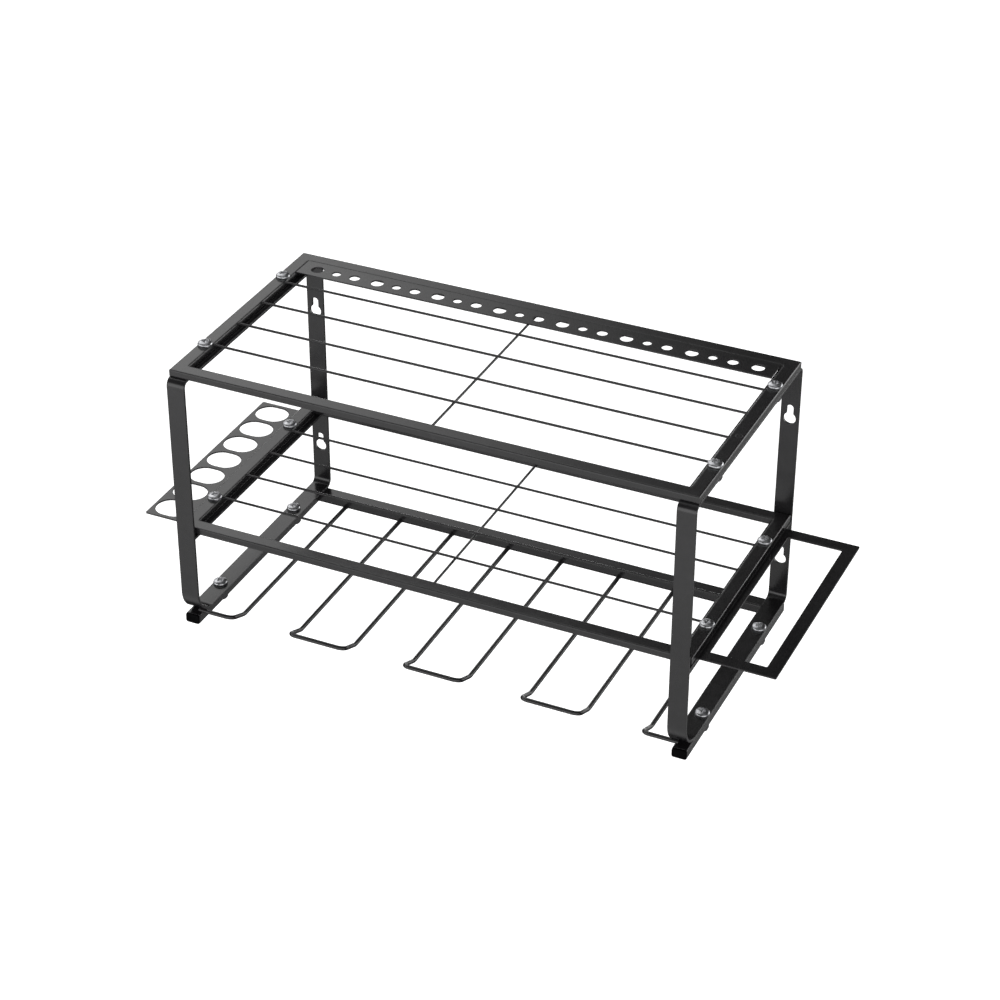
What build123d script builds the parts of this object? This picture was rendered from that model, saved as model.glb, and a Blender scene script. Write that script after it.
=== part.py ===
from build123d import *

import math
import os

# Wall mounted power tool organizer, in millimetres.
# X runs along the wall from left to right, Y points into the wall and Z points up.
# The origin is on the wall plane, halfway across the rack and halfway between
# the upper and the lower wall keyholes.

# Shelf frames, welded from rectangular tube
frame_width = 430.0
frame_depth = 214.0
rail_width = 11.0
rail_height = 6.0
rail_wall = 1.0
rail_corner = 0.8
shelf_spacing = 139.0

# Wire grids welded into both shelf frames
shelf_wire_diameter = 2.0
shelf_wire_pitch = 38.0

# Side loops, bent from flat bar
bar_width = 15.0
bar_thickness = 2.0
loop_height = 217.0
frame_to_loop_gap = 3.0
loop_top_bend = 6.0
loop_rear_bottom_bend = 7.0
loop_front_bottom_bend = 23.0

# Keyholes in the loops' rear uprights
keyhole_drop = 47.7
keyhole_lift = 39.3
keyhole_entry_diameter = 10.0
keyhole_slot_width = 5.5
keyhole_rise = 12.0

# Holed strip for bits at the back of the top shelf
strip_width = 22.0
strip_thickness = 1.2
strip_end_gap = 1.5
strip_row_inset = 11.6
strip_end_margin = 8.0
bit_group_pitch = 54.0
small_bit_offset = 17.2
medium_bit_offset = 33.6
large_bit_diameter = 10.5
medium_bit_diameter = 8.8
small_bit_diameter = 7.3

# Plates clamped under the ends of the middle shelf
plate_end_inset = 11.0
plate_thickness = 1.2
plate_corner = 1.0
socket_plate_reach = 38.8
socket_row_inset = 22.2
socket_width = 28.8
socket_length = 23.4
socket_web = 3.7
socket_end_margin = 2.0
rack_reach = 61.3
rack_bar_width = 10.7
rack_window_inset = 6.0
rack_window_corner = 1.0

# Open frame at the bottom, from heavier tube
base_tube_width = 12.0
base_tube_height = 8.0
base_wall = 1.0
base_corner = 1.0

# Plastic plugs in the two open ends of the bottom frame
plug_flange = 2.0
plug_insert_length = 10.0
plug_clearance = 0.1
plug_edge = 0.6

# Bent wire drill hooks
hook_wire_diameter = 3.5
drill_slot_count = 4
drill_slot_width = 51.8
end_leg_inset = 38.5
hook_lip_run = 19.5
hook_lip_bend = 12.0
hook_corner_bend = 6.0
hook_landing = 3.0
hook_nook_clearance = 0.1

# Pan head machine screws and thin hexagon nuts
screw_diameter = 6.0
screw_hole_clearance = 0.4
screw_row_inset = 44.8
screw_head_diameter = 11.5
screw_head_height = 3.6
screw_head_side = 1.5
screw_head_shoulder = 3.1
screw_head_shoulder_inset = 1.2
screw_head_crown = 6.0
screw_tip_chamfer = 0.6
screw_tip_show = 1.0
recess_length = 5.6
recess_width = 1.3
recess_depth = 2.0
nut_across_flats = 10.0
nut_height = 3.2
nut_thread_clearance = 0.1

# How far every cut runs past the face that it opens
overrun = 1.0

# Levels, from the wall keyholes outwards
keyhole_spacing = loop_height - keyhole_drop - keyhole_lift
loop_top = keyhole_spacing / 2 + keyhole_drop
loop_bottom = loop_top - loop_height
top_level = loop_top + rail_height
middle_level = top_level - shelf_spacing
plate_level = middle_level - rail_height
cross_strap_level = plate_level - plate_thickness
keyhole_levels = [keyhole_spacing / 2, -keyhole_spacing / 2]

# Distances from the wall
frame_rear = -(bar_thickness + frame_to_loop_gap)
frame_front = frame_rear - frame_depth
frame_middle = (frame_rear + frame_front) / 2
loop_front = frame_front - frame_to_loop_gap - bar_thickness

# Places across the rack and along the plates
frame_side = frame_width / 2
screw_column = frame_side - rail_width / 2
bar_column = frame_side - bar_width / 2
screw_rows = [frame_rear - screw_row_inset, frame_front + screw_row_inset]
screw_hole_radius = (screw_diameter + screw_hole_clearance) / 2
plate_length = frame_depth - 2 * plate_end_inset

os.makedirs("parts", exist_ok=True)


def save(piece, name):
    """Label a finished piece and write it to its own file."""
    piece.part.label = name
    export_step(piece.part, f"parts/{name}.step")


def at_points(columns, rows, level):
    """Every crossing of the given columns and rows, at one level."""
    return [(x, y, level) for x in columns for y in rows]


def tube_rail(corner, length, width, height, wall, corner_radius, mitres, hole_columns=()):
    """A run of rectangular tube whose top outer edge lies on the corner plane's X axis.

    The tube lies below the plane, on its +Y side. Each end whose mitre is 1 is cut at
    45 degrees, and an end whose mitre is 0 is square. Screw holes go down through it.
    """
    end_plane = Plane(origin=corner.origin, x_dir=corner.y_dir, z_dir=corner.x_dir)
    start_mitre, end_mitre = mitres
    with BuildPart() as rail:
        with BuildSketch(end_plane):
            with Locations((width / 2, -height / 2)):
                RectangleRounded(width, height, corner_radius)
                Rectangle(width - 2 * wall, height - 2 * wall, mode=Mode.SUBTRACT)
        extrude(amount=length)
        with BuildSketch(corner.offset(overrun)):
            with BuildLine():
                Polyline(
                    (-overrun * start_mitre, -overrun),
                    (length + overrun * end_mitre, -overrun),
                    (length - (width + overrun) * end_mitre, width + overrun),
                    ((width + overrun) * start_mitre, width + overrun),
                    close=True,
                )
            make_face()
        extrude(amount=-(height + 2 * overrun), mode=Mode.INTERSECT)
        if hole_columns:
            with Locations(*at_points(hole_columns, screw_rows, corner.origin.Z)):
                Hole(screw_hole_radius)
    return rail


def shelf_rails(shelf, level):
    """Four mitred rails round one shelf, with screw holes in the two side rails."""
    section = (rail_width, rail_height, rail_wall, rail_corner)
    both = (1, 1)
    front = Plane(origin=(-frame_side, frame_front, level), x_dir=(1, 0, 0), z_dir=(0, 0, 1))
    right = Plane(origin=(frame_side, frame_front, level), x_dir=(0, 1, 0), z_dir=(0, 0, 1))
    rear = Plane(origin=(frame_side, frame_rear, level), x_dir=(-1, 0, 0), z_dir=(0, 0, 1))
    left = Plane(origin=(-frame_side, frame_rear, level), x_dir=(0, -1, 0), z_dir=(0, 0, 1))
    save(tube_rail(front, frame_width, *section, both), f"{shelf}_front_rail")
    save(tube_rail(rear, frame_width, *section, both), f"{shelf}_rear_rail")
    save(tube_rail(right, frame_depth, *section, both, [screw_column]), f"{shelf}_right_rail")
    save(tube_rail(left, frame_depth, *section, both, [-screw_column]), f"{shelf}_left_rail")


def shelf_wires(shelf, level):
    """Long wires flush with the shelf's top, and one centre wire across under them.

    The wires are spaced from the front, and both shelves stop short of the bit strip.
    """
    inner_width = frame_width - 2 * rail_width
    inner_depth = frame_depth - 2 * rail_width
    wire_radius = shelf_wire_diameter / 2
    long_wire_level = level - wire_radius
    centre_wire_level = long_wire_level - shelf_wire_diameter
    open_depth = inner_depth - strip_width - shelf_wire_diameter
    wire_count = int(open_depth // shelf_wire_pitch)
    inner_front = frame_front + rail_width
    rows = [inner_front + shelf_wire_pitch * (index + 1) for index in range(wire_count)]

    with BuildPart() as long_wires:
        with BuildSketch(Plane.YZ.offset(-inner_width / 2)):
            with Locations(*[(row, long_wire_level) for row in rows]):
                Circle(wire_radius)
        extrude(amount=inner_width)
    save(long_wires, f"{shelf}_long_wires")

    with BuildPart() as centre_wire:
        with BuildSketch(Plane.XZ.offset(-(frame_rear - rail_width))):
            with Locations((0, centre_wire_level)):
                Circle(wire_radius)
        extrude(amount=inner_depth)
    save(centre_wire, f"{shelf}_centre_wire")


for shelf_name, shelf_level in [("top", top_level), ("middle", middle_level)]:
    shelf_rails(shelf_name, shelf_level)
    shelf_wires(shelf_name, shelf_level)


# Side loops: one flat bar each, bent round the whole side of the rack
def side_loop(side, centre):
    """A closed loop of flat bar with four bends, two keyholes and four screw holes."""
    bends = [loop_front_bottom_bend, loop_rear_bottom_bend, loop_top_bend, loop_top_bend]
    with BuildPart() as loop:
        with BuildSketch(Plane.YZ.offset(centre - bar_width / 2)):
            with BuildLine():
                FilletPolyline(
                    (loop_front, loop_bottom),
                    (0, loop_bottom),
                    (0, loop_top),
                    (loop_front, loop_top),
                    radius=bends,
                    close=True,
                )
            make_face()
            offset(amount=-bar_thickness, kind=Kind.ARC, mode=Mode.SUBTRACT)
        extrude(amount=bar_width)
        slot_length = keyhole_rise - keyhole_slot_width / 2
        with BuildSketch(Plane.XZ.offset(-overrun)):
            with Locations(*[(centre, level) for level in keyhole_levels]):
                Circle(keyhole_entry_diameter / 2)
            with Locations(*[(centre, level + slot_length / 2) for level in keyhole_levels]):
                SlotCenterToCenter(slot_length, keyhole_slot_width, rotation=90)
        extrude(amount=bar_thickness + 2 * overrun, mode=Mode.SUBTRACT)
        side_sign = math.copysign(1, centre)
        with Locations(*at_points([side_sign * screw_column], screw_rows, loop_top)):
            Hole(screw_hole_radius)
    save(loop, f"{side}_side_loop")


def cross_strap(side, centre):
    """A flat bar welded between the loop's uprights, under the middle shelf."""
    inner_length = frame_depth + 2 * frame_to_loop_gap
    with BuildPart() as strap:
        with BuildSketch(Plane.XY.offset(cross_strap_level)):
            with Locations((centre, frame_middle)):
                Rectangle(bar_width, inner_length)
        extrude(amount=-bar_thickness)
        side_sign = math.copysign(1, centre)
        with Locations(*at_points([side_sign * screw_column], screw_rows, cross_strap_level)):
            Hole(screw_hole_radius)
    save(strap, f"{side}_cross_strap")


for side_name, bar_centre in [("left", -bar_column), ("right", bar_column)]:
    side_loop(side_name, bar_centre)
    cross_strap(side_name, bar_centre)


# Bit strip: flush with the top shelf and welded to its rear rail and left rail
rail_inner_side = frame_side - rail_width
strip_rear = frame_rear - rail_width
strip_length = 2 * rail_inner_side - strip_end_gap
bit_group_count = int((strip_length - 2 * strip_end_margin) // bit_group_pitch)
strip_centre = strip_length / 2 - rail_inner_side
first_group = strip_centre - bit_group_count * bit_group_pitch / 2
group_starts = [first_group + bit_group_pitch * index for index in range(bit_group_count)]
large_bit_columns = group_starts + [first_group + bit_group_count * bit_group_pitch]
medium_bit_columns = [start + medium_bit_offset for start in group_starts]
small_bit_columns = [start + small_bit_offset for start in group_starts]
bit_rows = [
    (large_bit_diameter, large_bit_columns),
    (medium_bit_diameter, medium_bit_columns),
    (small_bit_diameter, small_bit_columns),
]

with BuildPart() as bit_strip:
    with BuildSketch(Plane.XY.offset(top_level)):
        with Locations((-rail_inner_side, strip_rear)):
            Rectangle(strip_length, strip_width, align=(Align.MIN, Align.MAX))
        for bit_diameter, bit_columns in bit_rows:
            with Locations(*[(column, strip_rear - strip_row_inset) for column in bit_columns]):
                Circle(bit_diameter / 2, mode=Mode.SUBTRACT)
    extrude(amount=-strip_thickness)
save(bit_strip, "top_bit_strip")

# Socket plate: clamped between the middle shelf's left rail and the cross strap
socket_pitch = socket_length + socket_web
socket_row_length = plate_length - 2 * socket_end_margin
socket_count = int((socket_row_length + socket_web) // socket_pitch)
socket_column = -(frame_side + socket_row_inset)

with BuildPart() as socket_plate:
    with BuildSketch(Plane.XY.offset(plate_level)):
        with Locations((-rail_inner_side, frame_middle)):
            RectangleRounded(
                socket_plate_reach + rail_width,
                plate_length,
                plate_corner,
                align=(Align.MAX, Align.CENTER),
            )
        with Locations((socket_column, frame_middle)):
            with GridLocations(socket_pitch, socket_pitch, 1, socket_count):
                SlotOverall(socket_width, socket_length, mode=Mode.SUBTRACT)
    extrude(amount=-plate_thickness)
    with Locations(*at_points([-screw_column], screw_rows, plate_level)):
        Hole(screw_hole_radius)
save(socket_plate, "left_socket_plate")

# Tool rack: one long window inside a plate, clamped under the right rail
rack_window_width = rack_reach - rack_bar_width - rack_window_inset
rack_window_length = plate_length - 2 * rack_bar_width

with BuildPart() as tool_rack:
    with BuildSketch(Plane.XY.offset(plate_level)):
        with Locations((rail_inner_side, frame_middle)):
            RectangleRounded(
                rack_reach + rail_width,
                plate_length,
                plate_corner,
                align=(Align.MIN, Align.CENTER),
            )
        with Locations((frame_side + rack_window_inset, frame_middle)):
            RectangleRounded(
                rack_window_width,
                rack_window_length,
                rack_window_corner,
                align=(Align.MIN, Align.CENTER),
                mode=Mode.SUBTRACT,
            )
    extrude(amount=-plate_thickness)
    with Locations(*at_points([screw_column], screw_rows, plate_level)):
        Hole(screw_hole_radius)
save(tool_rack, "right_tool_rack")


# Bottom frame: a rear rail and two side rails with open front ends
def bottom_rails():
    """Three tubes under the loops, mitred at the back and square at the front."""
    section = (base_tube_width, base_tube_height, base_wall, base_corner)
    left_rear = (-frame_side, frame_rear, loop_bottom)
    right_rear = (frame_side, frame_rear, loop_bottom)
    right_front = (frame_side, frame_front, loop_bottom)
    rear = Plane(origin=right_rear, x_dir=(-1, 0, 0), z_dir=(0, 0, 1))
    left = Plane(origin=left_rear, x_dir=(0, -1, 0), z_dir=(0, 0, 1))
    right = Plane(origin=right_front, x_dir=(0, 1, 0), z_dir=(0, 0, 1))
    save(tube_rail(rear, frame_width, *section, (1, 1)), "bottom_rear_rail")
    save(tube_rail(left, frame_depth, *section, (1, 0), [-screw_column]), "bottom_left_rail")
    save(tube_rail(right, frame_depth, *section, (0, 1), [screw_column]), "bottom_right_rail")


bottom_rails()
base_middle = loop_bottom - base_tube_height / 2


def end_plug(side, centre):
    """A plastic cap with a bevelled edge, and the tongue that grips inside the tube."""
    bore_width = base_tube_width - 2 * (base_wall + plug_clearance)
    bore_height = base_tube_height - 2 * (base_wall + plug_clearance)
    with BuildPart() as plug:
        with BuildSketch(Plane.XZ.offset(-frame_front)):
            with Locations((centre, base_middle)):
                RectangleRounded(base_tube_width, base_tube_height, base_corner)
        extrude(amount=plug_flange)
        chamfer(plug.faces().sort_by(Axis.Y)[0].edges(), length=plug_edge)
        with BuildSketch(Plane.XZ.offset(-frame_front)):
            with Locations((centre, base_middle)):
                Rectangle(bore_width, bore_height)
        extrude(amount=-plug_insert_length)
    save(plug, f"{side}_end_plug")


tube_column = frame_side - base_tube_width / 2
for side_name, tube_centre in [("left", -tube_column), ("right", tube_column)]:
    end_plug(side_name, tube_centre)

# Drill hooks: each wire starts square on the rear rail, runs forward level with the
# rail's underside, rises to a lip and crosses over. The lip of an end hook lies on the
# top of the bottom rail, in the nook under the loop's large front bend.
wire_radius = hook_wire_diameter / 2
leg_rear = frame_rear - base_tube_width
leg_level = loop_bottom - base_tube_height + wire_radius
lip_level = loop_bottom + wire_radius
nook_reach = loop_front_bottom_bend + wire_radius + hook_nook_clearance
nook_drop = loop_front_bottom_bend - wire_radius
lip_front = loop_front + loop_front_bottom_bend - math.sqrt(nook_reach**2 - nook_drop**2)
lip_start = lip_front + hook_lip_run
hook_count = drill_slot_count + 1
slots_total = drill_slot_count * drill_slot_width
hook_width = (frame_width - 2 * end_leg_inset - slots_total) / (drill_slot_count - 1)
hook_pitch = drill_slot_width + hook_width
landing_column = frame_side - base_tube_width + hook_landing


def bent_wire(name, route, bends):
    """One wire of round section, swept along straight runs with rounded bends."""
    with BuildPart() as wire:
        with BuildLine() as path:
            FilletPolyline(*route, radius=bends)
        with BuildSketch(Plane(origin=path.line @ 0, z_dir=path.line % 0)):
            Circle(wire_radius)
        sweep()
    save(wire, name)


def leg_points(column):
    """The rear end, the foot of the lip and the lip's corner of one leg."""
    return [
        (column, leg_rear, leg_level),
        (column, lip_start, leg_level),
        (column, lip_front, lip_level),
    ]


for index in range(hook_count):
    hook_centre = (index - drill_slot_count / 2) * hook_pitch
    left_leg = leg_points(hook_centre - hook_width / 2)
    right_leg = leg_points(hook_centre + hook_width / 2)
    if index == 0:
        hook_route = right_leg + [(-landing_column, lip_front, lip_level)]
        hook_bends = [hook_lip_bend, hook_corner_bend]
    elif index == hook_count - 1:
        hook_route = left_leg + [(landing_column, lip_front, lip_level)]
        hook_bends = [hook_lip_bend, hook_corner_bend]
    else:
        hook_route = left_leg + right_leg[::-1]
        hook_bends = [hook_lip_bend, hook_corner_bend, hook_corner_bend, hook_lip_bend]
    bent_wire(f"drill_hook_{index + 1}", hook_route, hook_bends)

# Fasteners: one screw size serves all three levels, long enough for the thickest stack
top_stack = rail_height + bar_thickness
middle_stack = rail_height + plate_thickness + bar_thickness
bottom_stack = bar_thickness + base_tube_height
screw_length = max(top_stack, middle_stack, bottom_stack) + nut_height + screw_tip_show
screw_columns = [-screw_column, screw_column]


def screw_group(name, level):
    """Four pan head screws with cross recesses, their heads seated at one level."""
    head_radius = screw_head_diameter / 2
    shank_radius = screw_diameter / 2
    with BuildPart() as screw:
        with BuildSketch(Plane.XZ):
            with BuildLine():
                Polyline(
                    (0, screw_head_height),
                    (0, -screw_length),
                    (shank_radius - screw_tip_chamfer, -screw_length),
                    (shank_radius, -screw_length + screw_tip_chamfer),
                    (shank_radius, 0),
                    (head_radius, 0),
                    (head_radius, screw_head_side),
                    (head_radius - screw_head_shoulder_inset, screw_head_shoulder),
                    (screw_head_crown / 2, screw_head_height),
                    close=True,
                )
            make_face()
        revolve(axis=Axis.Z)
        with BuildSketch(Plane.XY.offset(screw_head_height + overrun)):
            Rectangle(recess_length, recess_width)
            Rectangle(recess_width, recess_length)
        extrude(amount=-(recess_depth + overrun), mode=Mode.SUBTRACT)
    with BuildPart() as group:
        with Locations(*at_points(screw_columns, screw_rows, level)):
            add(screw.part)
    save(group, name)


def nut_group(name, level):
    """Four hexagon nuts, their top faces seated at one level."""
    with BuildPart() as nut:
        with BuildSketch(Plane.XY):
            RegularPolygon(nut_across_flats / 2, 6, major_radius=False, rotation=30)
            Circle(screw_diameter / 2 + nut_thread_clearance, mode=Mode.SUBTRACT)
        extrude(amount=-nut_height)
    with BuildPart() as group:
        with Locations(*at_points(screw_columns, screw_rows, level)):
            add(nut.part)
    save(group, name)


screw_group("top_screws", top_level)
nut_group("top_nuts", top_level - top_stack)
screw_group("middle_screws", middle_level)
nut_group("middle_nuts", middle_level - middle_stack)
screw_group("bottom_screws", loop_bottom + bar_thickness)
nut_group("bottom_nuts", loop_bottom + bar_thickness - bottom_stack)
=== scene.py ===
# %% [markdown]
# # A wall rack for drills, dressed in powder coat and zinc
#
# The rack is welded from steel tube, flat bar and wire, screwed together with twelve
# machine screws and coated black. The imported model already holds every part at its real
# size. This lesson gives those parts their finish, models again the pieces that a plain
# solid draws too simply, and lights the whole as a catalogue picture.
# Everything is in metres: X runs along the wall, Y points into it and Z points up.

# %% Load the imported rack
import math

import bmesh
import bpy
import numpy as np
from mathutils import Matrix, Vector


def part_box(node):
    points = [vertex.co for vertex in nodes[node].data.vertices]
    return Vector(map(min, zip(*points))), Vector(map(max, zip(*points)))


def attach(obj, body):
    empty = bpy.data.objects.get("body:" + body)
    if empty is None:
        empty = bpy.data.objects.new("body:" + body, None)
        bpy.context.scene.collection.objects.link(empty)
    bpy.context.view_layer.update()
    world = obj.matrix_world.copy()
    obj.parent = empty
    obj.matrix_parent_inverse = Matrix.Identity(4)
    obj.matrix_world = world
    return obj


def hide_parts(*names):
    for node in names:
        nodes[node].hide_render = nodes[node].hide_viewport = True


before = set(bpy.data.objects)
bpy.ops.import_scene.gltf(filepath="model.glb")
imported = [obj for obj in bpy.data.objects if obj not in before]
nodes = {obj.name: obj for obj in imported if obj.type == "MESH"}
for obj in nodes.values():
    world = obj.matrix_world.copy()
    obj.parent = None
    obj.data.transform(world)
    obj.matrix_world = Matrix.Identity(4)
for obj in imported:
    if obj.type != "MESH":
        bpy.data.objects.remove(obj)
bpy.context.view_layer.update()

# %% [markdown]
# ## Shader maths in plain Python
#
# A finish is mostly arithmetic on patterns, such as "darken where this noise is low".
# Written as nodes that is a dozen links, so a small class wraps a socket and lets an
# expression such as `0.4 + 0.1 * noise` add its Math nodes. One function makes every
# other kind of node: it sets the node's own settings first, and then its sockets.

# %% A socket that can be added and multiplied


class Signal:
    """An output socket of one material, with the arithmetic that the finishes use."""

    def __init__(self, tree, socket):
        self.tree = tree
        self.socket = socket

    def math(self, operation, first, second=0.0):
        """A Math node on two values or signals."""
        return add_node(self.tree, "Math", {"operation": operation}, {0: first, 1: second})

    def __add__(self, other):
        return self.math("ADD", self, other)

    def __radd__(self, other):
        return self.math("ADD", other, self)

    def __sub__(self, other):
        return self.math("SUBTRACT", self, other)

    def __rsub__(self, other):
        return self.math("SUBTRACT", other, self)

    def __mul__(self, other):
        return self.math("MULTIPLY", self, other)

    def __rmul__(self, other):
        return self.math("MULTIPLY", other, self)

    def __pow__(self, other):
        return self.math("POWER", self, other)


def add_node(tree, kind, settings, sockets, output=0):
    """One shader node: settings are its own properties and sockets its inputs."""
    node = tree.nodes.new("ShaderNode" + kind)
    for name, value in settings.items():
        setattr(node, name, value)
    for name, value in sockets.items():
        if isinstance(value, Signal):
            tree.links.new(value.socket, node.inputs[name])
        else:
            node.inputs[name].default_value = value
    return Signal(tree, node.outputs[output]) if node.outputs else None


def new_material(name):
    """A material with an empty node tree."""
    material = bpy.data.materials.new(name)
    material.use_nodes = True
    material.node_tree.nodes.clear()
    return material, material.node_tree


print("signals ready")

# %% Patterns that several finishes share
wear_start = 0.1
wear_full = 0.27


def object_place(tree):
    """Object coordinates: on these parts, the place in the rack in metres."""
    return add_node(tree, "TexCoord", {}, {}, "Object")


def along_axis(place, axis):
    """One coordinate of a place or a direction."""
    return add_node(place.tree, "SeparateXYZ", {}, {"Vector": place}, axis)


def abs_gap(signal, middle):
    """How far a signal lies from a middle value, on either side."""
    return add_node(signal.tree, "Math", {"operation": "ABSOLUTE"}, {0: signal - middle})


def noise(tree, place, scale, detail=2.0, roughness=0.5):
    """Cloudy noise between 0 and 1 with the given number of cells per unit of place."""
    sockets = {"Vector": place, "Scale": scale, "Detail": detail, "Roughness": roughness}
    return add_node(tree, "TexNoise", {}, sockets, "Fac")


def band(signal, low, high):
    """0 below low and 1 above high, with a smooth step between them."""
    settings = {"interpolation_type": "SMOOTHSTEP"}
    sockets = {"Value": signal, "From Min": low, "From Max": high}
    return add_node(signal.tree, "MapRange", settings, sockets)


def blend(tree, amount, first, second):
    """A colour that goes from first to second as amount goes from 0 to 1.

    A Mix node has its colours at inputs 6 and 7 and their mix at output 2.
    """
    node = tree.nodes.new("ShaderNodeMix")
    node.data_type = "RGBA"
    for index, value in ((0, amount), (6, first), (7, second)):
        socket = node.inputs[index]
        if isinstance(value, Signal):
            tree.links.new(value.socket, socket)
        else:
            socket.default_value = value
    return Signal(tree, node.outputs[2])


def vector_blend(tree, amount, first, second):
    """A direction that goes from first to second as amount goes from 0 to 1."""
    step = add_node(tree, "VectorMath", {"operation": "SUBTRACT"}, {0: second, 1: first})
    share = add_node(tree, "VectorMath", {"operation": "SCALE"}, {0: step, "Scale": amount})
    return add_node(tree, "VectorMath", {"operation": "ADD"}, {0: first, 1: share})


def edge_wear(tree, radius, samples=6):
    """Where an edge has its crest, and the normal rounded over a radius.

    The Bevel node averages the normal over the radius. On a flat it equals the true normal,
    so one minus their dot product is 0 there, and on the crest of a square edge it is 0.29.
    """
    rounded = add_node(tree, "Bevel", {"samples": samples}, {"Radius": radius})
    true_normal = add_node(tree, "NewGeometry", {}, {}, "Normal")
    pair = {0: rounded, 1: true_normal}
    agreement = add_node(tree, "VectorMath", {"operation": "DOT_PRODUCT"}, pair, "Value")
    return band(1 - agreement, wear_start, wear_full), rounded


print("patterns ready")

# %% [markdown]
# ## Black powder coat
#
# Powder is sprayed on dry and melted in an oven, so it flows into a skin with a soft
# satin gloss and a fine pebbled surface, thinner on sharp edges. A flat black would look
# like paper. Here a cloudy noise shifts the black and the gloss a little from place to
# place, a much finer noise becomes the pebbles through a Bump node, and the edge mask
# lightens the worn corners. The coat fills corners, so the shading of an edge is rounder
# than its metal: widely on tube, less on flat bar and least on sheet. Where two rails
# meet, the weld is ground flush and the rounding is taken away again. The values stay
# low, because the light greys in the picture are reflections of the studio and not the
# colour of the paint.

# %% Powder coat
frame_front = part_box("top_left_rail")[0][1]
frame_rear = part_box("top_left_rail")[1][1]
frame_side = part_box("top_right_rail")[1][0]
cloud_cells = 14.0
mottle_cells = 160.0
grain_cells = 1300.0
dust_cells = 2600.0
pebble_height = 0.00012
coat_roughness = 0.15
coat_black = (0.0068, 0.0066, 0.007, 1)
coat_faded = (0.0118, 0.0114, 0.0122, 1)
coat_worn = (0.045, 0.044, 0.046, 1)
mitre_width = 0.0017
mitre_fade = 1.4 * mitre_width
mark_radius = 0.0026


def mitre_joint(place):
    """1 on the slanted joints between rails, where the ground weld leaves no edge.

    There the distance from the frame's side equals the distance from its front or rear.
    """
    y = along_axis(place, "Y")
    from_side = frame_side - abs_gap(along_axis(place, "X"), 0.0)
    off_front = band(abs_gap(from_side, y - frame_front), mitre_width, mitre_fade)
    off_rear = band(abs_gap(from_side, frame_rear - y), mitre_width, mitre_fade)
    return 1 - off_front * off_rear


def powder_coat(name, rounding, mark=None):
    """Satin black powder coat over edges of the given rounding.

    It has a faint ring at mark, a place on a top face.
    """
    material, tree = new_material(name)
    place = object_place(tree)
    clouds = noise(tree, place, cloud_cells, 3.0)
    mottle = noise(tree, place, mottle_cells, 3.0)
    grain = noise(tree, place, grain_cells, 2.0)
    dust = band(noise(tree, place, dust_cells, 1.0), 0.74, 0.8)
    wear, rounded = edge_wear(tree, rounding)
    whole = 1 - mitre_joint(place)
    wear = wear * whole
    fading = clouds * 0.6 + mottle * 0.4
    colour = blend(tree, band(fading, 0.3, 0.75), coat_black, coat_faded)
    colour = blend(tree, wear * (0.25 + 0.5 * mottle), colour, coat_worn)
    colour = blend(tree, dust * 0.35, colour, coat_worn)
    height = grain + 0.35 * mottle
    flat_normal = add_node(tree, "NewGeometry", {}, {}, "Normal")
    normal = vector_blend(tree, whole, flat_normal, rounded)
    if mark:
        across = along_axis(place, "X") - mark[0]
        along = along_axis(place, "Y") - mark[1]
        distance = (across * across + along * along) ** 0.5
        rim = 1 - band(abs_gap(distance, mark_radius), 0.0002, 0.0007)
        dot = 1 - band(distance, 0.0004, 0.0009)
        ring = (rim + dot) * 0.5
        colour = blend(tree, ring, colour, coat_worn)
        height = height + 2 * ring
    relief = {"Strength": 0.3, "Distance": pebble_height, "Height": height, "Normal": normal}
    bump = add_node(tree, "Bump", {}, relief)
    sockets = {
        "Base Color": colour,
        "Roughness": coat_roughness + 0.06 * mottle + 0.04 * clouds + 0.06 * wear,
        "Specular IOR Level": 0.5,
        "Normal": bump,
    }
    shader = add_node(tree, "BsdfPrincipled", {}, sockets)
    add_node(tree, "OutputMaterial", {}, {"Surface": shader})
    return material


tube_rounding = 0.0016
bar_rounding = 0.0009
sheet_rounding = 0.0004
rail_mark = (0.2109, -0.1284)
coat = powder_coat("black_powder_coat", tube_rounding)
marked_coat = powder_coat("black_powder_coat_marked", tube_rounding, rail_mark)
bar_coat = powder_coat("black_powder_coat_bar", bar_rounding)
sheet_coat = powder_coat("black_powder_coat_sheet", sheet_rounding)
print("powder coat:", len(coat.node_tree.nodes), "nodes")

# %% [markdown]
# ## Bright zinc, dark steel and moulded plastic
#
# Zinc plate is a thin bright metal skin with a slightly blue cast, brushed by the lathe
# that cut the head. Those turning marks follow each screw, not the rack, so screws and
# nuts carry an attribute called `local`: the place on the piece itself, in millimetres.
# Rings are noise read along the distance from the piece's axis. The nuts are a dark
# semi-gloss steel, and the two end plugs are matt plastic.

# %% Metals and plastic
ring_cells = 9.0
stain_cells = 420.0
turning_height = 0.00003
moulding_height = 0.00006
moulded_black = (0.0011, 0.0011, 0.0012, 1)
moulded_faded = (0.0024, 0.0024, 0.0026, 1)
moulded_scuff = (0.008, 0.008, 0.0085, 1)


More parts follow.
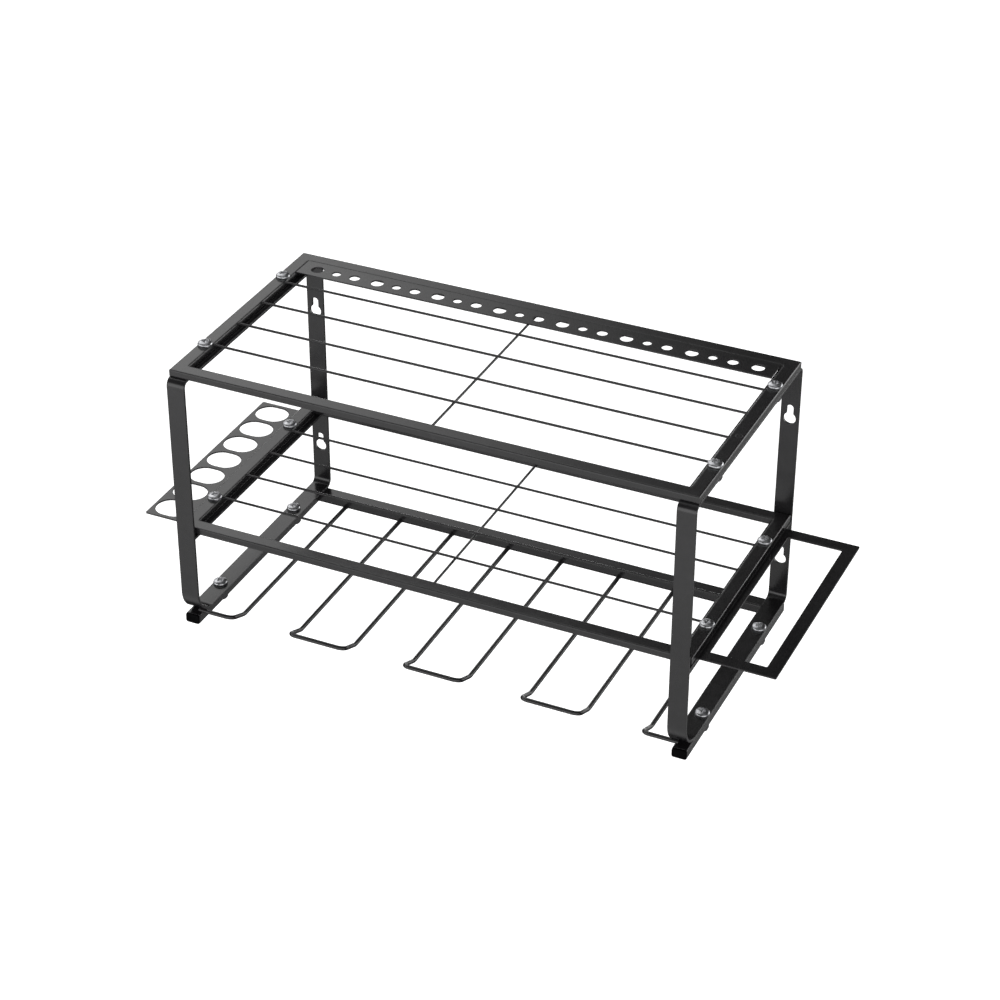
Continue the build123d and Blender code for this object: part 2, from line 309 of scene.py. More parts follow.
def turned_metal(name, dark, light, roughness, ring_strength):
    """Turned metal: rings round the axis, cloudy staining and dulled edges."""
    material, tree = new_material(name)
    place = add_node(tree, "Attribute", {"attribute_name": "local"}, {}, "Vector")
    x = along_axis(place, "X")
    y = along_axis(place, "Y")
    axis_distance = (x * x + y * y) ** 0.5
    profile = {"X": axis_distance, "Y": along_axis(place, "Z"), "Z": 0.0}
    rings = noise(tree, add_node(tree, "CombineXYZ", {}, profile), ring_cells, 3.0, 0.7)
    stain = noise(tree, object_place(tree), stain_cells, 4.0, 0.6)
    wear, rounded = edge_wear(tree, 0.00025, 4)
    colour = blend(tree, band(stain, 0.3, 0.7), dark, light)
    relief = {"Strength": ring_strength, "Distance": turning_height}
    relief |= {"Height": rings + 0.4 * stain, "Normal": rounded}
    bump = add_node(tree, "Bump", {}, relief)
    sockets = {
        "Base Color": colour,
        "Metallic": 1.0,
        "Roughness": roughness + 0.12 * stain + 0.06 * rings + 0.08 * wear,
        "Normal": bump,
    }
    shader = add_node(tree, "BsdfPrincipled", {}, sockets)
    add_node(tree, "OutputMaterial", {}, {"Surface": shader})
    return material


def moulded_plastic(name):
    """Matt black polyethylene with a fine spark-eroded grain and scuffed edges."""
    material, tree = new_material(name)
    place = object_place(tree)
    grain = noise(tree, place, 3500.0, 2.0)
    clouds = noise(tree, place, 120.0, 2.0)
    wear, rounded = edge_wear(tree, 0.0004, 4)
    colour = blend(tree, band(clouds, 0.3, 0.7), moulded_black, moulded_faded)
    colour = blend(tree, wear * 0.4, colour, moulded_scuff)
    relief = {"Strength": 0.35, "Distance": moulding_height, "Height": grain, "Normal": rounded}
    bump = add_node(tree, "Bump", {}, relief)
    sockets = {
        "Base Color": colour,
        "Roughness": 0.5 + 0.12 * grain + 0.05 * clouds,
        "Specular IOR Level": 0.02,
        "Normal": bump,
    }
    shader = add_node(tree, "BsdfPrincipled", {}, sockets)
    add_node(tree, "OutputMaterial", {}, {"Surface": shader})
    return material


zinc_dark = (0.34, 0.345, 0.36, 1)
zinc_light = (0.52, 0.525, 0.54, 1)
# The nuts are only given a dark steel colour, far darker than the zinc.
nut_dark = (0.045, 0.045, 0.05, 1)
nut_light = (0.085, 0.085, 0.092, 1)
bright_zinc = turned_metal("bright_zinc", zinc_dark, zinc_light, 0.24, 0.15)
dark_nut_steel = turned_metal("dark_nut_steel", nut_dark, nut_light, 0.3, 0.3)
plug_plastic = moulded_plastic("black_plastic")

for name, node in nodes.items():
    node.data.materials.clear()
    node.data.materials.append(marked_coat if name == "top_right_rail" else coat)
print("finishes:", bright_zinc.name, dark_nut_steel.name, plug_plastic.name)

# %% [markdown]
# ## Surfaces from grids of points
#
# Every wire, screw, nut and plug here is a skin over a grid of points: rows of rings, like
# the hoops of a barrel. Numpy works out all the points of a piece at once, and the faces
# follow from the order of the points alone. Building the same shapes from primitives and
# edits would hide the formula that makes them, and a loop over the points would be slow.

# %% From a grid to a mesh


def ring_faces(steps, count):
    """Four-sided faces between neighbouring rings, each facing away from the rings' axis.

    Face (i, j) joins point j and j + 1 of ring i to point j + 1 and j of ring i + 1.
    """
    index = np.arange(steps * count).reshape(steps, count)
    following = np.roll(index, -1, axis=1)
    return np.stack((index[:-1], following[:-1], following[1:], index[1:]), axis=-1).reshape(-1, 4)


def skin(rings):
    """Points and faces of a closed skin over rings shaped (steps, points per ring, 3).

    Each end is closed by a fan of triangles round the mean of its ring.
    """
    steps, count = rings.shape[:2]
    first_hub = steps * count
    points = np.concatenate((rings.reshape(-1, 3), [rings[0].mean(0)], [rings[-1].mean(0)]))
    around = np.arange(count)
    ahead = np.roll(around, -1)
    last = (steps - 1) * count
    start_fan = np.stack((np.full(count, first_hub), ahead, around), axis=-1)
    end_fan = np.stack((np.full(count, first_hub + 1), last + around, last + ahead), axis=-1)
    return points, ring_faces(steps, count).tolist() + start_fan.tolist() + end_fan.tolist()


def make_piece(name, skins, material, sharp=40.0, places=None):
    """One object from several skins, shaded smooth except at edges sharper than the angle.

    Where places is given, it holds each skin's local places in millimetres for the finish.
    """
    points = []
    faces = []
    for skin_points, skin_faces in skins:
        offset = sum(len(group) for group in points)
        points.append(skin_points)
        faces += [[corner + offset for corner in face] for face in skin_faces]
    points = np.concatenate(points)
    mesh = bpy.data.meshes.new(name)
    mesh.from_pydata(points.tolist(), [], faces)
    mesh.polygons.foreach_set("use_smooth", np.ones(len(mesh.polygons), dtype=bool))
    mesh.set_sharp_from_angle(angle=math.radians(sharp))
    if places is not None:
        attribute = mesh.attributes.new("local", "FLOAT_VECTOR", "POINT")
        attribute.data.foreach_set("vector", np.concatenate(places).astype(np.float32).ravel())
    mesh.materials.append(material)
    piece = bpy.data.objects.new(name, mesh)
    bpy.context.scene.collection.objects.link(piece)
    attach(piece, "root")
    return piece


print("surface helpers ready")

# %% [markdown]
# ## Round wire
#
# The grids and the drill hooks are drawn wire. Each is a circle carried along a path, with
# the rounded bends worked out as arcs that touch both straight runs. Where a wire is
# butt-welded to a rail, the melted metal spreads into a small collar, so the circle grows
# over the last millimetre. A Curve object with a bevel would give the tube, but neither
# the collar nor the exact arcs.

# %% Wire along a route
wire_sides = 20
collar_growth = 0.00045
collar_reach = 0.0007
bend_step = 0.0007


def unit(vector):
    """The same direction with length one."""
    return vector / np.linalg.norm(vector, axis=-1, keepdims=True)


def rounded_route(corners, bends):
    """Points along straight runs joined by arcs that touch them.

    An arc that turns by an angle starts its radius times the tangent of half that angle
    before the corner, and leaves the first run towards the second along a circle.
    """
    corners = [np.array(corner, dtype=float) for corner in corners]
    route = [corners[0][None]]
    for before, corner, after, bend in zip(corners, corners[1:], corners[2:], bends):
        incoming = unit(corner - before)
        outgoing = unit(after - corner)
        turn = math.acos(incoming @ outgoing)
        inward = unit(outgoing - incoming * (incoming @ outgoing))
        start = corner - bend * math.tan(turn / 2) * incoming
        angles = np.linspace(0, turn, math.ceil(turn * bend / bend_step) + 1)[:, None]
        route.append(start + bend * (np.sin(angles) * incoming + (1 - np.cos(angles)) * inward))
    route.append(corners[-1][None])
    return np.concatenate(route)


def with_collar_steps(route, start, end):
    """Adds closely spaced points next to each welded end of a route."""
    steps = collar_reach * np.array([0.25, 0.5, 0.8, 1.2, 1.8, 2.6, 4.0])[:, None]
    parts = [route[:1], route[1:-1], route[-1:]]
    if start:
        parts.insert(1, route[0] + steps * unit(route[1] - route[0]))
    if end:
        parts.insert(-1, route[-1] + steps[::-1] * unit(route[-2] - route[-1]))
    return np.concatenate(parts)


def wire_skin(route, radius, lean, start_weld=True, end_weld=True):
    """A skin of circles along a route, each square to it, with collars at welded ends.

    The circle's first axis is the lean direction with its share along the route taken out,
    so it never twists. The radius grows by the collar's height times a bell curve of the
    distance from the weld.
    """
    route = with_collar_steps(route, start_weld, end_weld)
    lengths = np.concatenate(([0], np.cumsum(np.linalg.norm(np.diff(route, axis=0), axis=1))))
    along = unit(np.gradient(route, lengths, axis=0))
    side = unit(lean - along * (along @ lean)[:, None])
    other = np.cross(along, side)
    growth = np.zeros(len(route))
    if start_weld:
        growth += np.exp(-((lengths / collar_reach) ** 2))
    if end_weld:
        growth += np.exp(-(((lengths[-1] - lengths) / collar_reach) ** 2))
    radii = (radius + collar_growth * growth)[:, None, None]
    angles = np.linspace(0, 2 * math.pi, wire_sides, endpoint=False)[None, :, None]
    circle = np.cos(angles) * side[:, None] + np.sin(angles) * other[:, None]
    return skin(route[:, None] + radii * circle)


print("wire helpers ready")

# %% Shelf grids
long_wire_count = 4
upright = np.array((0.0, 0.0, 1.0))
slanted = unit(np.array((0.4, -0.35, 0.85)))


def span(node, axis):
    """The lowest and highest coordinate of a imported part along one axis."""
    low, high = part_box(node)
    return low[axis], high[axis]


def long_wires(shelf):
    """The shelf's long wires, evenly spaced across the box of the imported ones."""
    x_low, x_high = span(f"{shelf}_long_wires", 0)
    y_low, y_high = span(f"{shelf}_long_wires", 1)
    z_low, z_high = span(f"{shelf}_long_wires", 2)
    radius = (z_high - z_low) / 2
    rows = np.linspace(y_low + radius, y_high - radius, long_wire_count)
    level = (z_low + z_high) / 2
    routes = [np.array([(x, row, level) for x in (x_low, 0, x_high)]) for row in rows]
    skins = [wire_skin(route, radius, upright) for route in routes]
    piece = make_piece(f"{shelf}_long_wire_grid", skins, coat)
    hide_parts(f"{shelf}_long_wires")
    return piece


def centre_wire(shelf):
    """The one wire that crosses under the long ones."""
    x_low, x_high = span(f"{shelf}_centre_wire", 0)
    y_low, y_high = span(f"{shelf}_centre_wire", 1)
    z_low, z_high = span(f"{shelf}_centre_wire", 2)
    middle = (x_low + x_high) / 2
    level = (z_low + z_high) / 2
    route = np.array([(middle, y, level) for y in (y_high, (y_low + y_high) / 2, y_low)])
    wire = wire_skin(route, (z_high - z_low) / 2, upright)
    piece = make_piece(f"{shelf}_cross_wire", [wire], coat)
    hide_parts(f"{shelf}_centre_wire")
    return piece


for shelf in ("top", "middle"):
    grid = long_wires(shelf)
    crossing = centre_wire(shelf)
    print(grid.name, len(grid.data.vertices), "points")
    print(crossing.name, len(crossing.data.vertices), "points")

# %% [markdown]
# ## Drill hooks
#
# Five bent wires under the rack hold the drills. Each leg leaves the rear rail, runs
# forward level, rises to a lip and turns across to the next leg. The lip of an end hook
# lies on the bottom rail instead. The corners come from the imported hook's own box, so the
# wire stays where its solid is, and only the bend radii and the lip's run are written.

# %% Hooks
hook_radius = 0.00175
lip_run = 0.0195
lip_bend = 0.012
corner_bend = 0.006


def hook(index):
    """One hook: a leg, its lip, the crossing, and on a middle hook the second leg back."""
    node = f"drill_hook_{index}"
    x_low, x_high = span(node, 0)
    y_low, y_high = span(node, 1)
    z_low, z_high = span(node, 2)
    leg_level = z_low + hook_radius
    lip_level = z_high - hook_radius
    lip_front = y_low + hook_radius

    def leg(column):
        start = (column, y_high, leg_level)
        rise = (column, lip_front + lip_run, leg_level)
        return [start, rise, (column, lip_front, lip_level)]

    left = leg(x_low + hook_radius)
    right = leg(x_high - hook_radius)
    if index == 1:
        corners = right + [(x_low, lip_front, lip_level)]
        bends = (lip_bend, corner_bend)
    elif index == 5:
        corners = left + [(x_high, lip_front, lip_level)]
        bends = (lip_bend, corner_bend)
    else:
        corners = left + right[::-1]
        bends = (lip_bend, corner_bend, corner_bend, lip_bend)
    ends_on_rail = index not in (1, 5)
    wire = wire_skin(rounded_route(corners, bends), hook_radius, slanted, True, ends_on_rail)
    piece = make_piece(f"bent_hook_{index}", [wire], coat)
    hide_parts(node)
    return piece


hooks = [hook(index) for index in range(1, 6)]
print("hooks:", [len(piece.data.vertices) for piece in hooks])

# %% [markdown]
# ## Sheet metal with softened edges
#
# The side loops, straps, plates and the bit strip are cut from flat steel. A perfectly
# sharp edge never catches the light, but real ones do, because cutting and coating round
# them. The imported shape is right, so a copy of it is used: its loose triangles are merged,
# flat neighbours are joined again, and a Bevel modifier rounds what is sharper than the
# facets of the bends. A Weighted Normal modifier then turns the shading of each flat face
# back to its own direction, or the wide faces would look dented beside their rounded rims.

# %% Sheet parts
edge_radius = 0.00035
bend_facet = math.radians(30)


def softened(node_name, title, finish):
    """A merged copy of a packed sheet part, with its edges rounded by a Bevel modifier."""
    work = bmesh.new()
    work.from_mesh(nodes[node_name].data)
    bmesh.ops.remove_doubles(work, verts=work.verts, dist=1e-6)
    bmesh.ops.dissolve_limit(work, angle_limit=math.radians(0.5), verts=work.verts, edges=work.edges)
    mesh = bpy.data.meshes.new(title)
    work.to_mesh(mesh)
    work.free()
    mesh.polygons.foreach_set("use_smooth", np.ones(len(mesh.polygons), dtype=bool))
    mesh.materials.append(finish)
    piece = bpy.data.objects.new(title, mesh)
    bpy.context.scene.collection.objects.link(piece)
    rounding = piece.modifiers.new("rounded edges", "BEVEL")
    rounding.width = edge_radius
    rounding.segments = 3
    rounding.limit_method = "ANGLE"
    rounding.angle_limit = bend_facet
    flats = piece.modifiers.new("flat faces stay flat", "WEIGHTED_NORMAL")
    flats.weight = 100
    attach(piece, "root")
    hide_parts(node_name)
    return piece


sheet_parts = {
    "left_side_loop": ("left_loop_bar", bar_coat),
    "right_side_loop": ("right_loop_bar", bar_coat),
    "left_cross_strap": ("left_strap", sheet_coat),
    "right_cross_strap": ("right_strap", sheet_coat),
    "left_socket_plate": ("socket_sheet", sheet_coat),
    "right_tool_rack": ("window_rack", sheet_coat),
    "top_bit_strip": ("holed_strip", sheet_coat),
}
for node_name, (title, finish) in sheet_parts.items():
    piece = softened(node_name, title, finish)
    print(title, len(piece.data.polygons), "faces before rounding")

# %% [markdown]
# ## Screws
#
# Twelve pan head screws hold the rack together. Each is one skin of rings that climbs the
# thread, crosses under the head and goes over the dome to its middle. The thread is the
# shank's radius with a wave that turns with height, and the cross recess is pressed into
# the dome by a depth that depends on the place: full inside two crossed bars, and fading
# to nothing over their tapered walls. A boolean cut would leave hard edges and stray
# triangles, and this keeps one clean grid.

# %% Screw shape
screw_radius = 0.003
thread_pitch = 0.001
thread_depth = 0.00055
head_height = 0.0036
head_side = 0.0011
dome_power = 2.6
recess_half_length = 0.0027
recess_half_width = 0.0007
recess_depth = 0.0014
recess_wall = 0.0006
screw_inset = 0.0055
point_radius = 0.0004
point_taper = 0.0008
ring_points = 72
screw_turns = {
    "top": (0.2, 0.9, 0.35, 1.2),
    "middle": (0.7, 0.1, 1.3, 0.5),
    "bottom": (1.0, 0.4, 0.0, 0.8),
}


def recess(x, y):
    """How deep the cross lies at a place: the deeper of two bars with sloping walls."""
    reach_x = np.clip((recess_half_length - abs(x)) / recess_wall, 0, 1)
    reach_y = np.clip((recess_half_length - abs(y)) / recess_wall, 0, 1)
    width_x = np.clip((recess_half_width - abs(y)) / recess_wall + 0.5, 0, 1)
    width_y = np.clip((recess_half_width - abs(x)) / recess_wall + 0.5, 0, 1)
    floor_slope = 1 - 0.35 * np.hypot(x, y) / recess_half_length
    return recess_depth * np.maximum(reach_x * width_x, reach_y * width_y) * floor_slope


def screw_rings(length, head_radius, turn):
    """Rings of one screw about the Z axis, its head seated at level 0.

    On the shank the radius follows a triangle wave of height over pitch minus the angle's
    share of a turn. On the head, radius and height follow a superellipse.
    """
    angles = np.linspace(0, 2 * math.pi, ring_points, endpoint=False)[None]
    levels = np.arange(-length, -thread_pitch / 4, thread_pitch / 8)[:, None]
    wave = abs(((levels / thread_pitch - angles / (2 * math.pi)) % 1) * 2 - 1)
    taper = np.clip((levels + length) / point_taper, 0, 1)
    shank = screw_radius - thread_depth * (wave + (1 - wave) * (1 - taper))
    point = np.full_like(angles, point_radius)
    shank = np.concatenate((point, shank, np.full_like(angles, screw_radius)))
    shank_levels = np.concatenate(([[-length]], levels, [[0.0]])) + 0 * angles
    under = np.array((0.9, 0.985, 1.0))[:, None] * head_radius + 0 * angles
    under_levels = np.array((0.0, 0.0, 0.00015))[:, None] + 0 * angles
    sweep = np.linspace(0, 1, 46)[:, None]
    quarter = sweep * math.pi / 2
    dome = head_radius * np.cos(quarter) ** (2 / dome_power) + 0 * angles
    rise = (head_height - head_side) * np.sin(quarter) ** (2 / dome_power)
    rise = rise + head_side + 0 * angles
    inner = np.linspace(1, 0.02, 40)[1:, None] * recess_half_length * 1.05
    keep = dome[:, 0] > inner[0, 0]
    dome = dome[keep]
    rise = rise[keep]
    crown_rise = (1 - (inner / head_radius) ** dome_power) ** (1 / dome_power)
    crown = inner + 0 * angles
    crown_levels = head_side + (head_height - head_side) * crown_rise + 0 * angles
    radii = np.concatenate((shank, under, dome, crown))
    heights = np.concatenate((shank_levels, under_levels, rise, crown_levels))
    x = radii * np.cos(angles)
    y = radii * np.sin(angles)
    over_head = heights > head_side
    turned_x = x * math.cos(turn) + y * math.sin(turn)
    turned_y = y * math.cos(turn) - x * math.sin(turn)
    heights = heights - over_head * recess(turned_x, turned_y)
    return np.stack((x, y, heights), axis=-1)


def screw_group(level, turns):
    """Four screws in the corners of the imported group's box."""
    node = f"{level}_screws"
    x_low, x_high = span(node, 0)
    y_low, y_high = span(node, 1)
    z_low, z_high = span(node, 2)
    seat = z_high - head_height
    head_radius = (x_high - frame_side) + screw_inset
    corners = [(x, y) for x in (x_low, x_high) for y in (y_low, y_high)]
    skins = []
    places = []
    for turn, (x, y) in zip(turns, corners):
        inward_x = -math.copysign(head_radius, x)
        inward_y = math.copysign(head_radius, y_high + y_low - 2 * y)
        centre = (x + inward_x, y + inward_y, seat)
        points, faces = skin(screw_rings(seat - z_low, head_radius, turn))
        skins.append((points + centre, faces))
        places.append(points * 1000)
    piece = make_piece(f"{level}_pan_screws", skins, bright_zinc, 50.0, places)
    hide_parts(node)
    return piece


for level, turns in screw_turns.items():
    piece = screw_group(level, turns)
    print(piece.name, len(piece.data.polygons), "faces")

# %% [markdown]
# ## Nuts
#
# A thin nut is a hexagon whose six corners are turned down by a cone above and below. So
# its outline at each height is the smaller of two radii: the hexagon's, which is the
# half width over the cosine of the angle from the nearest flat, and the cone's.

# %% Nut shape
nut_half_width = 0.005
bore_radius = 0.0031
bore_chamfer = 0.0005
nut_points = 96


def nut_rings(height):
    """Rings of one nut below level 0: up the outside, across, and down the bore.

    The skin is a tube bent round the bore, so its last ring meets its first.
    """
    angles = np.linspace(0, 2 * math.pi, nut_points, endpoint=False)[None]
    from_flat = (angles + math.pi / 6) % (math.pi / 3) - math.pi / 6
    hexagon = nut_half_width / np.cos(from_flat)
    depths = np.array((1.0, 1.0, 0.93, 0.86, 0.75, 0.5, 0.25, 0.14, 0.07, 0.0, 0.0))
    levels = -height * depths[:, None]
    share = np.array((0.8, 1, 1, 1, 1, 1, 1, 1, 1, 1, 0.8))[:, None]
    edge_distance = np.minimum(-levels, height + levels)
    cone = nut_half_width * 0.955 + edge_distance / math.tan(math.radians(30))
    outside = np.minimum(hexagon, cone) * share
    bore_levels = -height * np.array((0.0, 0.12, 0.5, 0.88, 1.0))[:, None]
    flare = bore_chamfer * np.array((1.0, 0.0, 0.0, 0.0, 1.0))[:, None]
    bore = bore_radius + flare + 0 * angles
    radii = np.concatenate((outside, bore, outside[:1]))
    heights = np.concatenate((levels, bore_levels, levels[:1])) + 0 * angles
    return np.stack((radii * np.cos(angles), radii * np.sin(angles), heights), axis=-1)


def nut_group(level):
    """Four nuts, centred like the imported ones."""
    node = f"{level}_nuts"
    x_low, x_high = span(node, 0)
    y_low, y_high = span(node, 1)
    z_low, z_high = span(node, 2)
    corner_reach = nut_half_width / math.cos(math.pi / 6)
    skins = []
    places = []
    for x in (x_low + nut_half_width, x_high - nut_half_width):
        for y in (y_low + corner_reach, y_high - corner_reach):
            rings = nut_rings(z_high - z_low)
            points = rings[:-1].reshape(-1, 3)
            faces = ring_faces(len(rings), rings.shape[1]) % len(points)
            skins.append((points + (x, y, z_high), faces.tolist()))
            places.append(points * 1000)
    piece = make_piece(f"{level}_thin_nuts", skins, dark_nut_steel, 25.0, places)
    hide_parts(node)
    return piece


for level in ("top", "middle", "bottom"):
    piece = nut_group(level)
    print(piece.name, len(piece.data.polygons), "faces")

# %% [markdown]
# ## End plugs
#
# Two moulded plugs close the open ends of the bottom frame. A plug is a rounded rectangle
# carried along its length: a ribbed tongue inside the tube, a step out to the cap, and a
# cap whose edge rolls over into a slightly domed face. A superellipse gives the rounded
# rectangle at every step, with only its two half widths changing.

# %% Plug shape
cap_length = 0.002
cap_roll = 0.0006
tongue_gap = 0.0012
lead_in_length = 0.0006
rib_height = 0.00035
rib_count = 5
plug_points = 80
corner_power = 0.28


def plug_skin(node):
    """One plug from the tongue's tip to the middle of the cap's face, along minus Y.

    Each ring is a superellipse: the cosine and sine of the angle, each raised to a small
    power with its sign kept, times half the width and half the height.
    """
    low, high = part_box(node)
    half_width = (high[0] - low[0]) / 2
    half_height = (high[2] - low[2]) / 2
    joint = low[1] + cap_length
    ribs = np.linspace(0, 1, 37)
    tongue = high[1] - ribs * (high[1] - joint)
    rib_wave = rib_height * abs(np.sin(ribs * math.pi * rib_count)) * (1 - ribs)
    lead_in = np.clip(lead_in_length - (high[1] - tongue), 0, 1)
    turn = np.linspace(0, math.pi / 2, 9)
    tongue_shrink = tongue_gap + lead_in + rib_wave
    step_shrink = (0.0002, 0.0, 0.0)
    roll_shrink = cap_roll * (1 - np.cos(turn))
    face_shrink = (0.0015, 0.0025, 0.0035)
    shrink = np.concatenate((tongue_shrink, step_shrink, roll_shrink, face_shrink))
    step_depth = (joint, joint - 0.0002, low[1] + 0.00075)
    roll_depth = low[1] + 0.00015 + cap_roll * (1 - np.sin(turn))
    face_depth = low[1] + np.array((0.0001, 0.00005, 0.0))
    depth = np.concatenate((tongue, step_depth, roll_depth, face_depth))
    angles = np.linspace(0, 2 * math.pi, plug_points, endpoint=False)[None]
    wide = np.sign(np.cos(angles)) * abs(np.cos(angles)) ** corner_power
    tall = np.sign(np.sin(angles)) * abs(np.sin(angles)) ** corner_power
    x = (low[0] + high[0]) / 2 + (half_width - shrink[:, None]) * wide
    z = (low[2] + high[2]) / 2 + (half_height - shrink[:, None]) * tall
    return skin(np.stack((x, depth[:, None] + 0 * x, z), axis=-1))


for side in ("left", "right"):
    piece = make_piece(f"{side}_tube_plug", [plug_skin(f"{side}_end_plug")], plug_plastic, 35.0)
    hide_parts(f"{side}_end_plug")
    print(piece.name, len(piece.data.polygons), "faces")

# %% [markdown]
# ## The camera
#
# The picture is taken from the front right and looks down on the top shelf at about 32
# degrees. The camera's place was worked out from the rack's corners, so it is written as
# its angles and its distance from the middle of the rack.

# %% Camera
look_at = np.array((0.0, -0.1186, 0.0187))
azimuth = 0.4314
elevation = 0.5641
roll = 0.0026
camera_distance = 2.0824434
shift_right = 0.01343
shift_up = -0.01445
focal_pixels = 2680.5393
picture_pixels = 1000.0
sensor_width = 36.0

forward = np.array(
    (
        -math.sin(azimuth) * math.cos(elevation),
        math.cos(azimuth) * math.cos(elevation),
        -math.sin(elevation),
    )
)
level_right = np.array((math.cos(azimuth), math.sin(azimuth), 0.0))
level_up = np.cross(level_right, forward)
right = math.cos(roll) * level_right + math.sin(roll) * level_up
up = math.cos(roll) * level_up - math.sin(roll) * level_right
position = look_at - camera_distance * forward + shift_right * right + shift_up * up


def standing(right, up, forward, position):
    """The matrix of a camera or a lamp that looks forward from its position."""
    columns = np.stack((right, up, -forward, position), axis=-1)
    return Matrix(np.vstack((columns, (0, 0, 0, 1))).tolist())


camera_data = bpy.data.cameras.new("camera")
camera_data.sensor_width = sensor_width
camera_data.lens = focal_pixels / picture_pixels * sensor_width
camera = bpy.data.objects.new("camera", camera_data)
bpy.context.scene.collection.objects.link(camera)
camera.matrix_world = standing(right, up, forward, position)
bpy.context.scene.camera = camera
print("camera at", np.round(position, 4))

# %% [markdown]
# ## Floor, studio and lamps
#
# Catalogue pictures are taken in a white cove. The floor here is a wide pale sheet well
# below the rack, so only a soft shadow reaches it. To the camera it glows a little by
# itself, which makes it white without more light on the rack. Glossy black shows what
# stands round it more than its own colour, so the floor also carries a painted reflection:
# in glossy rays alone it glows, bright in front and far behind and dark between, which
# leaves the front faces grey and the inner walls black. Two glowing patches painted behind
# the rack, one to the right and a narrow one to the left, do the same for the sides of the
# rails. Real lamps on stands would need as much trial, and each would leave its outline on
# the floor.

# %% Floor
floor_level = -0.3
floor_reach = 6.0
floor_glow = 0.75
# Painted reflection: these levels and edges set how brightly the floor glows in glossy rays only;
# they are not its colour.
dark_level = 0.05
near_level = 0.76
near_edge = (-0.32, -0.2)
middle_level = 0.25
middle_edge = (-0.85, -0.45)
far_level = 1.2
far_edge = (-1.6, -0.9)
rear_reflection_level = 3.4
rear_reflection_edge = (0.75, 1.3)
right_level = 0.26
right_patch_side = (0.15, 0.3)
right_patch_front = (-0.1, 0.05)
left_level = 0.34
left_patch_left = (-0.2, -0.13)
left_patch_right = (-0.035, -0.005)
left_patch_front = (-0.08, 0.0)
left_patch_rear = (0.3, 0.4)
floor_mesh = bpy.data.meshes.new("floor")
floor_corners = (
    (-floor_reach, -floor_reach, floor_level),
    (floor_reach, -floor_reach, floor_level),
    (floor_reach, floor_reach, floor_level),
    (-floor_reach, floor_reach, floor_level),
)
floor_mesh.from_pydata(floor_corners, [], [(0, 1, 2, 3)])
floor = bpy.data.objects.new("floor", floor_mesh)
bpy.context.scene.collection.objects.link(floor)

floor_material, tree = new_material("pale_floor")
glossy_ray = add_node(tree, "LightPath", {}, {}, "Is Glossy Ray")
camera_ray = add_node(tree, "LightPath", {}, {}, "Is Camera Ray")
clear_ray = add_node(tree, "LightPath", {}, {}, "Is Transmission Ray")
floor_x = along_axis(object_place(tree), "X")
floor_y = along_axis(object_place(tree), "Y")
near_front = 1 - band(floor_y, *near_edge)
middle_front = 1 - band(floor_y, *middle_edge)
far_front = 1 - band(floor_y, *far_edge)
far_rear = band(floor_y, *rear_reflection_edge)
right_rear = band(floor_x, *right_patch_side) * band(floor_y, *right_patch_front)
left_strip = band(floor_x, *left_patch_left) * (1 - band(floor_x, *left_patch_right))
left_rear = left_strip * band(floor_y, *left_patch_front) * (1 - band(floor_y, *left_patch_rear))
# Painted reflection: the floor's glow as glossy rays see it, bright in front and far behind, dark
# between, with two patches behind.
painted_reflection_strength = dark_level + near_level * near_front + middle_level * middle_front
painted_reflection_strength = painted_reflection_strength + far_level * far_front + rear_reflection_level * far_rear
painted_reflection_strength = painted_reflection_strength + right_level * right_rear + left_level * left_rear
white = (1, 1, 1, 1)
paint = add_node(tree, "BsdfDiffuse", {}, {"Color": (0.8, 0.8, 0.8, 1), "Roughness": 0.5})
seen_glow = (camera_ray + clear_ray) * floor_glow
glow = add_node(tree, "Emission", {}, {"Color": white, "Strength": seen_glow})
seen = add_node(tree, "AddShader", {}, {0: paint, 1: glow})
# Glossy rays see only this painted glow, never the lit paint.
painted_reflection_glow = add_node(tree, "Emission", {}, {"Color": white, "Strength": painted_reflection_strength})
surface = add_node(tree, "MixShader", {}, {0: glossy_ray, 1: seen, 2: painted_reflection_glow})
add_node(tree, "OutputMaterial", {}, {"Surface": surface})
floor_mesh.materials.append(floor_material)
print("floor at", floor_level)

# %% [markdown]
# ## What the tops and the corners reflect
#
# The world is painted by direction. A wide softbox behind on the left fades out to the
# right, and that draws the slow fade along the top rails. A low strip lamp behind on the
# right puts the thin light line on every outer corner, and a pale wall in front lifts the
# front corners. A faint glow straight above keeps the tops from going black when they are
# seen from there. Bearings are in radians from straight behind the rack, positive to the
# right, heights are the sine of the angle above the horizon, and each pair of numbers is
# where an edge starts to fade and where it ends. The camera itself sees plain white.

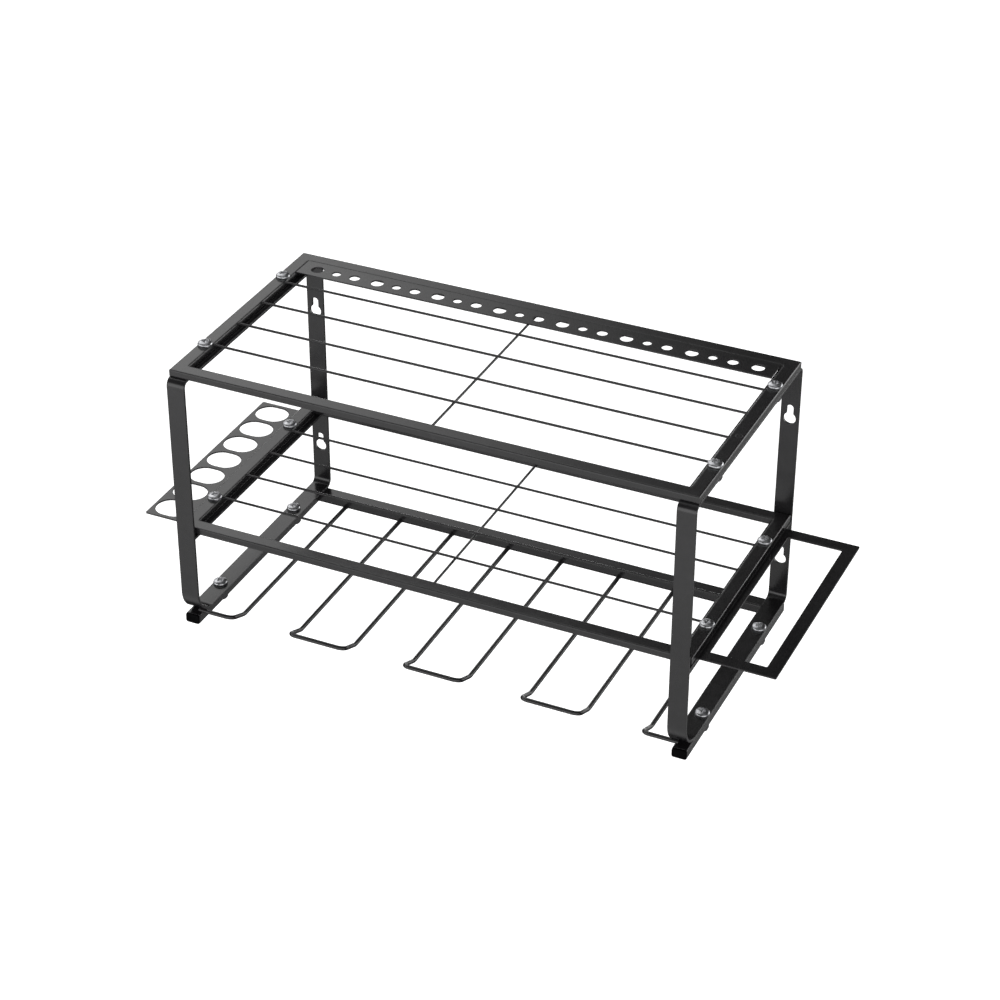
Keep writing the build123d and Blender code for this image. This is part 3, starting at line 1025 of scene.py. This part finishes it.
# %% World
room_level = 0.05
softbox_level = 1.8
front_level = 2.2
strip_level = 3.4
overhead_level = 0.45
front_sides = (1.5, 2.0)
front_top = (0.2, 0.5)
softbox_left = (-1.6, -1.4)
softbox_right = (-0.585, -0.315)
softbox_low = (0.25, 0.38)
softbox_top = (0.85, 0.95)
strip_left = (0.3, 0.45)
strip_right = (0.85, 1.0)
strip_top = (0.25, 0.38)
overhead_edge = (0.87, 0.97)
world = bpy.data.worlds.new("studio")
bpy.context.scene.world = world
world.use_nodes = True
tree = world.node_tree
tree.nodes.clear()
direction = add_node(tree, "TexCoord", {}, {}, "Generated")
height = along_axis(direction, "Z")
sides = {0: along_axis(direction, "X"), 1: along_axis(direction, "Y")}
bearing = add_node(tree, "Math", {"operation": "ARCTAN2"}, sides)
front = band(abs_gap(bearing, 0.0), *front_sides) * (1 - band(height, *front_top))
softbox = band(bearing, *softbox_left) * (1 - band(bearing, *softbox_right))
softbox = softbox * band(height, *softbox_low) * (1 - band(height, *softbox_top))
strip_lamp = band(bearing, *strip_left) * (1 - band(bearing, *strip_right))
strip_lamp = strip_lamp * (1 - band(height, *strip_top))
overhead = band(height, *overhead_edge)
radiance = room_level + front_level * front + softbox_level * softbox
radiance = radiance + strip_level * strip_lamp + overhead_level * overhead
camera_ray = add_node(tree, "LightPath", {}, {}, "Is Camera Ray")
strength = camera_ray + (1 - camera_ray) * radiance
background = add_node(tree, "Background", {}, {"Color": white, "Strength": strength})
add_node(tree, "OutputWorld", {}, {"Surface": background})
print("world ready")

# %% [markdown]
# ## Two soft panels
#
# The coat is so dark that reflections are nearly all of it, but the zinc, the shadow on
# the floor and the paint's own black need some plain light. Two soft panels give that
# without being mirrored, because their outlines would show in the flat rails.

# %% Lamps


def panel(name, place, aim, width, height, power):
    """A soft rectangular lamp that faces a point, hidden from camera and reflections."""
    lamp_data = bpy.data.lights.new(name, "AREA")
    lamp_data.shape = "RECTANGLE"
    lamp_data.size = width
    lamp_data.size_y = height
    lamp_data.energy = power
    lamp = bpy.data.objects.new(name, lamp_data)
    bpy.context.scene.collection.objects.link(lamp)
    facing = unit(np.array(aim) - np.array(place))
    sideways = unit(np.cross(facing, (0, 0, 1)))
    lamp.matrix_world = standing(sideways, np.cross(sideways, facing), facing, np.array(place))
    lamp.visible_camera = False
    lamp.visible_glossy = False
    return lamp


middle = (0.0, -0.11, 0.0)
panel("front_panel", (0.6, -3.0, 1.3), middle, 2.2, 1.6, 62.0)
panel("overhead_panel", (0.3, -0.4, 2.6), middle, 1.6, 1.6, 4.0)
print("lamps ready")

# %% [markdown]
# ## Last step
#
# The picture keeps the plain Standard view, so a colour renders as it is written.

bpy.context.scene.view_settings.view_transform = "Standard"
